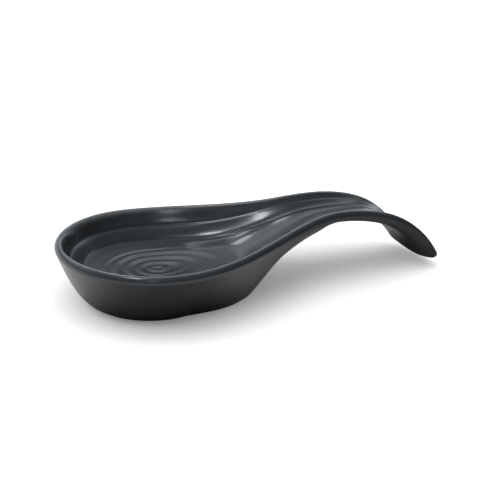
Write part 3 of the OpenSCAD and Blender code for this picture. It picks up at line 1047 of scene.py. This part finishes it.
def studio_floor(context, colours, near_side):
    """Pale floor that looks white to the camera where no shadow falls."""
    mesh = bpy.data.meshes.new("studio_floor")
    corners = [(FLOOR_HALF * x, FLOOR_HALF * y, 0) for x, y in ((-1, -1), (1, -1), (1, 1), (-1, 1))]
    mesh.from_pydata(corners, [], [(0, 1, 2, 3)])
    material, w, place = new_material("Pale studio floor")
    seen = w.node("ShaderNodeLightPath").outputs["Is Camera Ray"]
    # Less of the floor shows in the glaze and lights the piece than in the picture, and least just
    # beside the bowl and towards the handle's end: a painted shadow in the floor's bounce
    bounce = w.maths("MULTIPLY", w.ease(w.away(place, near_side), *BOWL_SHADOW_BOUNCE),
                     w.ease(w.parts(place)["X"], *HANDLE_SHADOW_BOUNCE))
    bounce = w.mixed(bounce, (0, 0, 0), colours.floor_bounce)
    paint = {"Color": w.mixed(seen, bounce, colours.floor)}
    diffuse = w.node("ShaderNodeBsdfDiffuse", paint).outputs[0]
    # The glow grows away from the piece, so that the floor stays white where the lamps fall off
    strength = w.maths("MULTIPLY", seen, w.ease(w.away(place, GLOW_CENTRE), *GLOW))
    glow = w.node("ShaderNodeEmission", {"Strength": strength}).outputs[0]
    both = w.node("ShaderNodeAddShader", {0: diffuse, 1: glow}).outputs[0]
    w.node("ShaderNodeOutputMaterial", {"Surface": both})
    mesh.materials.append(material)
    floor = bpy.data.objects.new("studio_floor", mesh)
    context.scene.collection.objects.link(floor)
    return floor


def studio_world(context):
    """White surroundings for the camera, soft bands for the gloss and a dim even light."""
    world = bpy.data.worlds.new("Studio")
    world.use_nodes = True
    world.node_tree.nodes.clear()
    w = Wires(world.node_tree)
    path = w.node("ShaderNodeLightPath").outputs
    direct = w.maths("MAXIMUM", path["Is Camera Ray"], path["Is Transmission Ray"])
    aim = w.parts(w.node("ShaderNodeTexCoord").outputs["Generated"])
    band = w.maths("MULTIPLY", w.ease(aim["Z"], *BAND_BELOW), w.ease(aim["Z"], *BAND_ABOVE))
    bands = w.maths("MAXIMUM", w.ease(aim["Z"], *SKYLINE), band)
    shine = w.maths("MULTIPLY", w.ease(aim["Y"], *BEHIND), bands)
    shine = w.maths("MULTIPLY", path["Is Glossy Ray"], shine)
    soft = w.maths("MULTIPLY", path["Is Diffuse Ray"], SOFT_LIGHT)
    strength = w.maths("MAXIMUM", w.maths("MAXIMUM", direct, shine), soft)
    tint = w.mixed(path["Is Glossy Ray"], (1.0, 1.0, 1.0), SHINE_TINT)
    back = w.node("ShaderNodeBackground", {"Color": tint, "Strength": strength}).outputs[0]
    w.node("ShaderNodeOutputWorld", {"Surface": back})
    context.scene.world = world


def studio_camera(context, sizes, bowl):
    """Camera that sees the bowl's centre at its place in the square picture."""
    p, e = sizes.turn, sizes.elevation
    right = Vector((math.cos(p), -math.sin(p), 0))
    level = Vector((math.sin(p), math.cos(p), 0))
    ahead = level * math.cos(e) - Vector((0, 0, math.sin(e)))
    up = level * math.sin(e) + Vector((0, 0, math.cos(e)))
    half = PICTURE / 2
    reach = half / math.tan(sizes.view_angle / 2)
    eye = bowl - ahead * sizes.distance
    eye -= right * (sizes.across - half) / reach * sizes.distance
    eye += up * (sizes.down - half) / reach * sizes.distance
    lens = bpy.data.cameras.new("camera")
    lens.angle = sizes.view_angle
    lens.clip_start = CLIP_START
    camera = bpy.data.objects.new("camera", lens)
    turn = Matrix((right, up, -ahead)).transposed().to_4x4()
    camera.matrix_world = Matrix.Translation(eye) @ turn
    context.scene.collection.objects.link(camera)
    context.scene.camera = camera


class REST_OT_stage(bpy.types.Operator):
    """Makes the floor, the light and the camera"""
    bl_idname = "spoon_rest.stage"
    bl_label = "Stage"

    def execute(self, context):
        scene = context.scene
        studio_world(context)
        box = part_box("glaze_coat")
        bowl = Vector((box[0][0] + scene.rest_rim.bowl_end, 0, scene.rest_rim.rim_h))
        floor = studio_floor(context, scene.rest_colours, Vector((bowl.x, 0, 0)) + NEAR_SIDE)
        pieces = [piece for piece in scene.objects if piece.name.endswith("_fine")]
        for row in LAMPS:
            area_light(context, row, pieces if row.on_piece else [floor])
        studio_camera(context, scene.rest_stage, bowl)
        scene.view_settings.view_transform = "Standard"
        return {"FINISHED"}


# Panel and registration

class REST_PT_panel(bpy.types.Panel):
    """Sizes and steps of the spoon rest"""
    bl_idname = "REST_PT_panel"
    bl_label = "Spoon Rest"
    bl_space_type = "VIEW_3D"
    bl_region_type = "UI"
    bl_category = "Spoon Rest"

    def draw(self, context):
        for step in STEPS:
            self.layout.operator(step.bl_idname)
        for name in GROUPS:
            group = getattr(context.scene, name)
            column = self.layout.column(align=True)
            for size in group.__annotations__:
                column.prop(group, size)


GROUPS = {"rest_rim": RimSizes, "rest_inside": InsideSizes, "rest_under": UnderSizes,
          "rest_colours": FinishColours, "rest_stage": StageSizes}
STEPS = (REST_OT_glaze, REST_OT_clay, REST_OT_underside, REST_OT_stage)
CLASSES = (*GROUPS.values(), *STEPS, REST_PT_panel)


def register():
    for made in CLASSES:
        bpy.utils.register_class(made)
    for name, group in GROUPS.items():
        setattr(bpy.types.Scene, name, PointerProperty(type=group))


def unregister():
    for name in GROUPS:
        delattr(bpy.types.Scene, name)
    for made in reversed(CLASSES):
        bpy.utils.unregister_class(made)


def main():
    register()
    bpy.ops.spoon_rest.glaze()
    bpy.ops.spoon_rest.clay()
    bpy.ops.spoon_rest.underside()
    bpy.ops.spoon_rest.stage()


if __name__ == "__main__":
    main()
